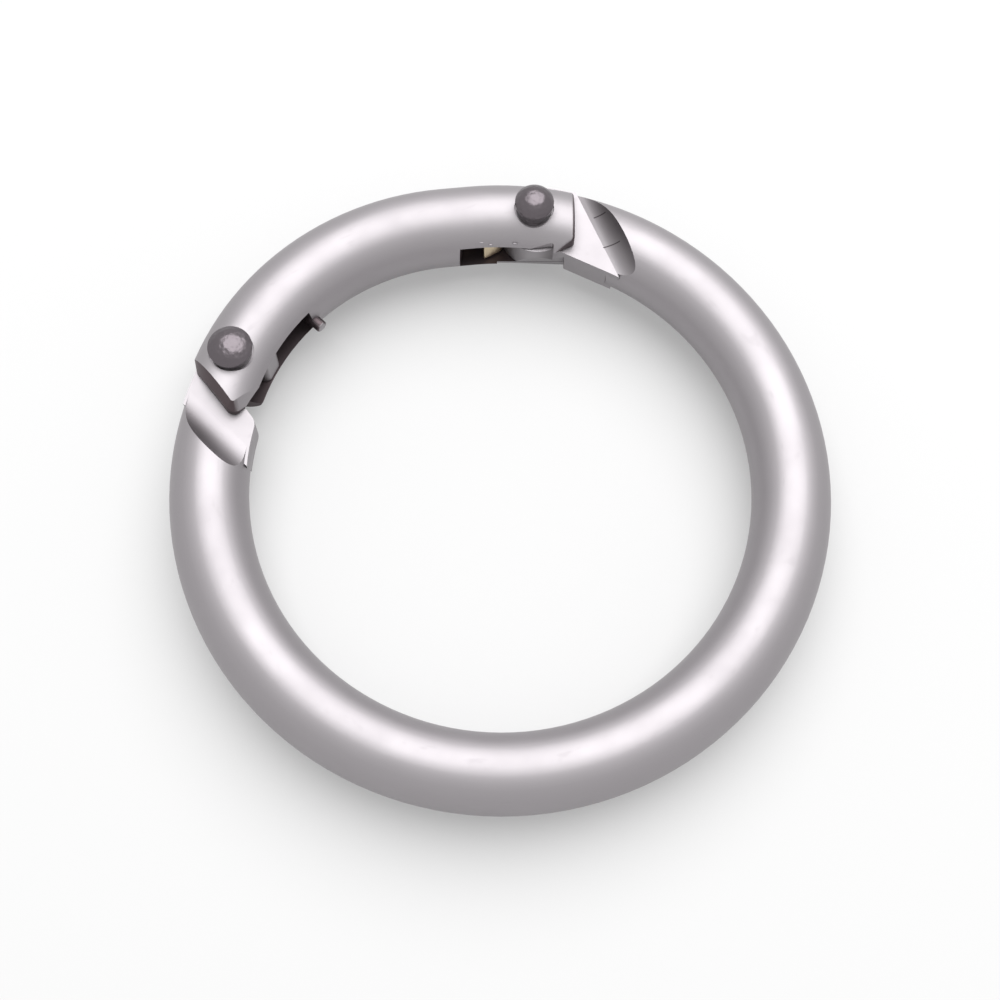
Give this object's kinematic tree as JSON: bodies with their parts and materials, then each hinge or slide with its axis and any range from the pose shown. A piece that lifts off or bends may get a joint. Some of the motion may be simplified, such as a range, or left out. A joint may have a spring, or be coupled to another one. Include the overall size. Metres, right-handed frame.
{
  "type": "spring gate ring",
  "caption": "Round metal ring with a curved gate that swings inward on a rivet and springs shut, for joining straps, keys and fittings.",
  "frame": {"origin": "centre of the ring, in the middle plane of its bar", "axes": "the ring lies in the XY plane; +Z is square to it, the way the reader looks down on the closed gate at the upper left, with the hinge near +Y"},
  "size_m": [0.042, 0.042, 0.0078],
  "materials": {
    "casting": "satin plated zinc casting",
    "rivets": "dark hammered steel",
    "spring": "spring steel strip"
  },
  "bodies": {
    "ring": {"ring_body": "casting"},
    "gate": {"gate": "casting", "hinge_rivet": "rivets", "latch_rivet": "rivets", "gate_spring": "spring"}
  },
  "joints": [
    {"name": "gate_hinge", "type": "hinge", "parent": "ring", "child": "gate", "pos_m": [0.00216, 0.01837, 0], "axis": [0, 0, 1], "range_deg": [0, 40], "stiffness_Nm_per_rad": 0.017, "springref_deg": -20.05, "deforming": ["gate_spring"]}
  ]
}
